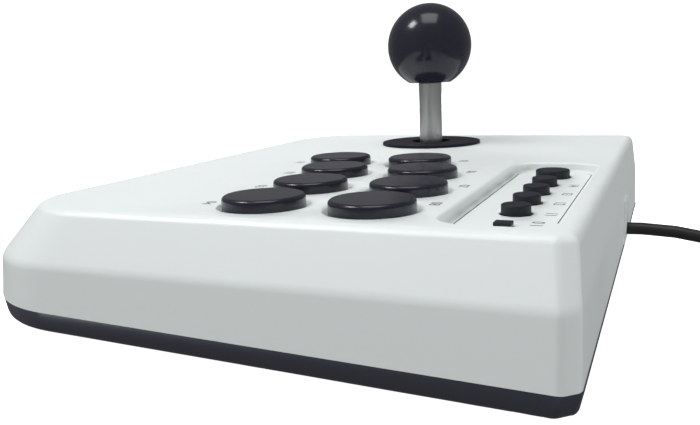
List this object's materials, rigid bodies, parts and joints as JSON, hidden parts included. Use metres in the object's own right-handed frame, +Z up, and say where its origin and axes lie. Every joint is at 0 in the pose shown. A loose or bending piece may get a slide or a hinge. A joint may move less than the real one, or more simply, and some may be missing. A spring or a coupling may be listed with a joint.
{
  "type": "arcade stick",
  "caption": "Compact arcade stick: a low sloping case with a ball-top lever, round push buttons, a sunk panel of small keys with a slide switch, and a USB cable at the back.",
  "frame": {"origin": "on the floor under the middle of the case", "axes": "+X to the player's right, +Y to the back, +Z up"},
  "size_m": [0.2184, 0.2721, 0.0944],
  "materials": {
    "case_white": "satin moulded plastic",
    "case_dark": "satin moulded plastic",
    "button_dark": "glossy",
    "key_dark": "matt",
    "ball_dark": "polished",
    "shaft_metal": "satin turned metal",
    "inner_plastic": "moulded",
    "silicone": "translucent grey silicone",
    "board": "solder mask",
    "screw_steel": "zinc plated",
    "foot_rubber": "matt",
    "cable_black": "matt vinyl",
    "plug_steel": "nickel plated"
  },
  "bodies": {
    "case": {"top_shell": "case_white", "control_panel": "case_white", "base_tray": "case_dark", "dust_washer": "case_dark", "lever_housing": "inner_plastic", "lever_switches": "inner_plastic", "mode_switch": "inner_plastic", "gate_plate": "inner_plastic", "button_dome_mat": "silicone", "key_dome_strip": "silicone", "centring_grommet": "silicone", "main_board": "board", "panel_board": "board", "switch_board": "board", "case_screws": "screw_steel", "board_screws": "screw_steel", "panel_screws": "screw_steel", "lever_screws": "screw_steel", "switch_blades": "screw_steel", "rubber_foot_1": "foot_rubber", "rubber_foot_2": "foot_rubber", "rubber_foot_3": "foot_rubber", "rubber_foot_4": "foot_rubber", "usb_cable": "cable_black", "usb_cable_tail": "cable_black", "usb_cable_coil": "cable_black", "cable_tie": "cable_black", "plug_boot": "cable_black", "cable_grommet": "cable_black", "plug_shell": "plug_steel"},
    "gimbal": {"gimbal_ring": "shaft_metal"},
    "lever": {"lever_shaft": "shaft_metal", "ball_top": "ball_dark", "lever_actuator": "inner_plastic"},
    "mode_knob": {"mode_knob": "key_dark"},
    "button_1": {"button_1": "button_dark"},
    "button_2": {"button_2": "button_dark"},
    "button_3": {"button_3": "button_dark"},
    "button_4": {"button_4": "button_dark"},
    "button_5": {"button_5": "button_dark"},
    "button_6": {"button_6": "button_dark"},
    "button_7": {"button_7": "button_dark"},
    "button_8": {"button_8": "button_dark"},
    "key_1": {"key_1": "key_dark"},
    "key_2": {"key_2": "key_dark"},
    "key_3": {"key_3": "key_dark"},
    "key_4": {"key_4": "key_dark"},
    "home_key": {"home_key": "key_dark"}
  },
  "joints": [
    {"name": "lever_tilt_front_back", "type": "hinge", "parent": "case", "child": "gimbal", "pos_m": [-0.0628, 0.00292, 0.02269], "axis": [1, 0, 0], "range_deg": [-8, 8], "stiffness_Nm_per_rad": 0.4, "deforming": ["centring_grommet", "switch_blades"]},
    {"name": "lever_tilt_sides", "type": "hinge", "parent": "gimbal", "child": "lever", "pos_m": [-0.0628, 0.00292, 0.02269], "axis": [0, 0.9995, 0.0321], "range_deg": [-8, 8], "stiffness_Nm_per_rad": 0.4, "deforming": ["centring_grommet", "switch_blades"]},
    {"name": "button_1_press", "type": "slide", "parent": "case", "child": "button_1", "axis": [0, 0.0321, -0.9995], "range_m": [0, 0.0018], "stiffness_N_per_m": 300, "springref_m": -0.001, "deforming": ["button_dome_mat"]},
    {"name": "button_2_press", "type": "slide", "parent": "case", "child": "button_2", "axis": [0, 0.0321, -0.9995], "range_m": [0, 0.0018], "stiffness_N_per_m": 300, "springref_m": -0.001, "deforming": ["button_dome_mat"]},
    {"name": "button_3_press", "type": "slide", "parent": "case", "child": "button_3", "axis": [0, 0.0321, -0.9995], "range_m": [0, 0.0018], "stiffness_N_per_m": 300, "springref_m": -0.001, "deforming": ["button_dome_mat"]},
    {"name": "button_4_press", "type": "slide", "parent": "case", "child": "button_4", "axis": [0, 0.0321, -0.9995], "range_m": [0, 0.0018], "stiffness_N_per_m": 300, "springref_m": -0.001, "deforming": ["button_dome_mat"]},
    {"name": "button_5_press", "type": "slide", "parent": "case", "child": "button_5", "axis": [0, 0.0321, -0.9995], "range_m": [0, 0.0018], "stiffness_N_per_m": 300, "springref_m": -0.001, "deforming": ["button_dome_mat"]},
    {"name": "button_6_press", "type": "slide", "parent": "case", "child": "button_6", "axis": [0, 0.0321, -0.9995], "range_m": [0, 0.0018], "stiffness_N_per_m": 300, "springref_m": -0.001, "deforming": ["button_dome_mat"]},
    {"name": "button_7_press", "type": "slide", "parent": "case", "child": "button_7", "axis": [0, 0.0321, -0.9995], "range_m": [0, 0.0018], "stiffness_N_per_m": 300, "springref_m": -0.001, "deforming": ["button_dome_mat"]},
    {"name": "button_8_press", "type": "slide", "parent": "case", "child": "button_8", "axis": [0, 0.0321, -0.9995], "range_m": [0, 0.0018], "stiffness_N_per_m": 300, "springref_m": -0.001, "deforming": ["button_dome_mat"]},
    {"name": "key_1_press", "type": "slide", "parent": "case", "child": "key_1", "axis": [0, 0.0321, -0.9995], "range_m": [0, 0.001], "stiffness_N_per_m": 400, "springref_m": -0.0006, "deforming": ["key_dome_strip"]},
    {"name": "key_2_press", "type": "slide", "parent": "case", "child": "key_2", "axis": [0, 0.0321, -0.9995], "range_m": [0, 0.001], "stiffness_N_per_m": 400, "springref_m": -0.0006, "deforming": ["key_dome_strip"]},
    {"name": "key_3_press", "type": "slide", "parent": "case", "child": "key_3", "axis": [0, 0.0321, -0.9995], "range_m": [0, 0.001], "stiffness_N_per_m": 400, "springref_m": -0.0006, "deforming": ["key_dome_strip"]},
    {"name": "key_4_press", "type": "slide", "parent": "case", "child": "key_4", "axis": [0, 0.0321, -0.9995], "range_m": [0, 0.001], "stiffness_N_per_m": 400, "springref_m": -0.0006, "deforming": ["key_dome_strip"]},
    {"name": "home_key_press", "type": "slide", "parent": "case", "child": "home_key", "axis": [0, 0.0321, -0.9995], "range_m": [0, 0.001], "stiffness_N_per_m": 400, "springref_m": -0.0006, "deforming": ["key_dome_strip"]},
    {"name": "mode_switch_slide", "type": "slide", "parent": "case", "child": "mode_knob", "axis": [-1, 0, 0], "range_m": [0, 0.002]}
  ]
}
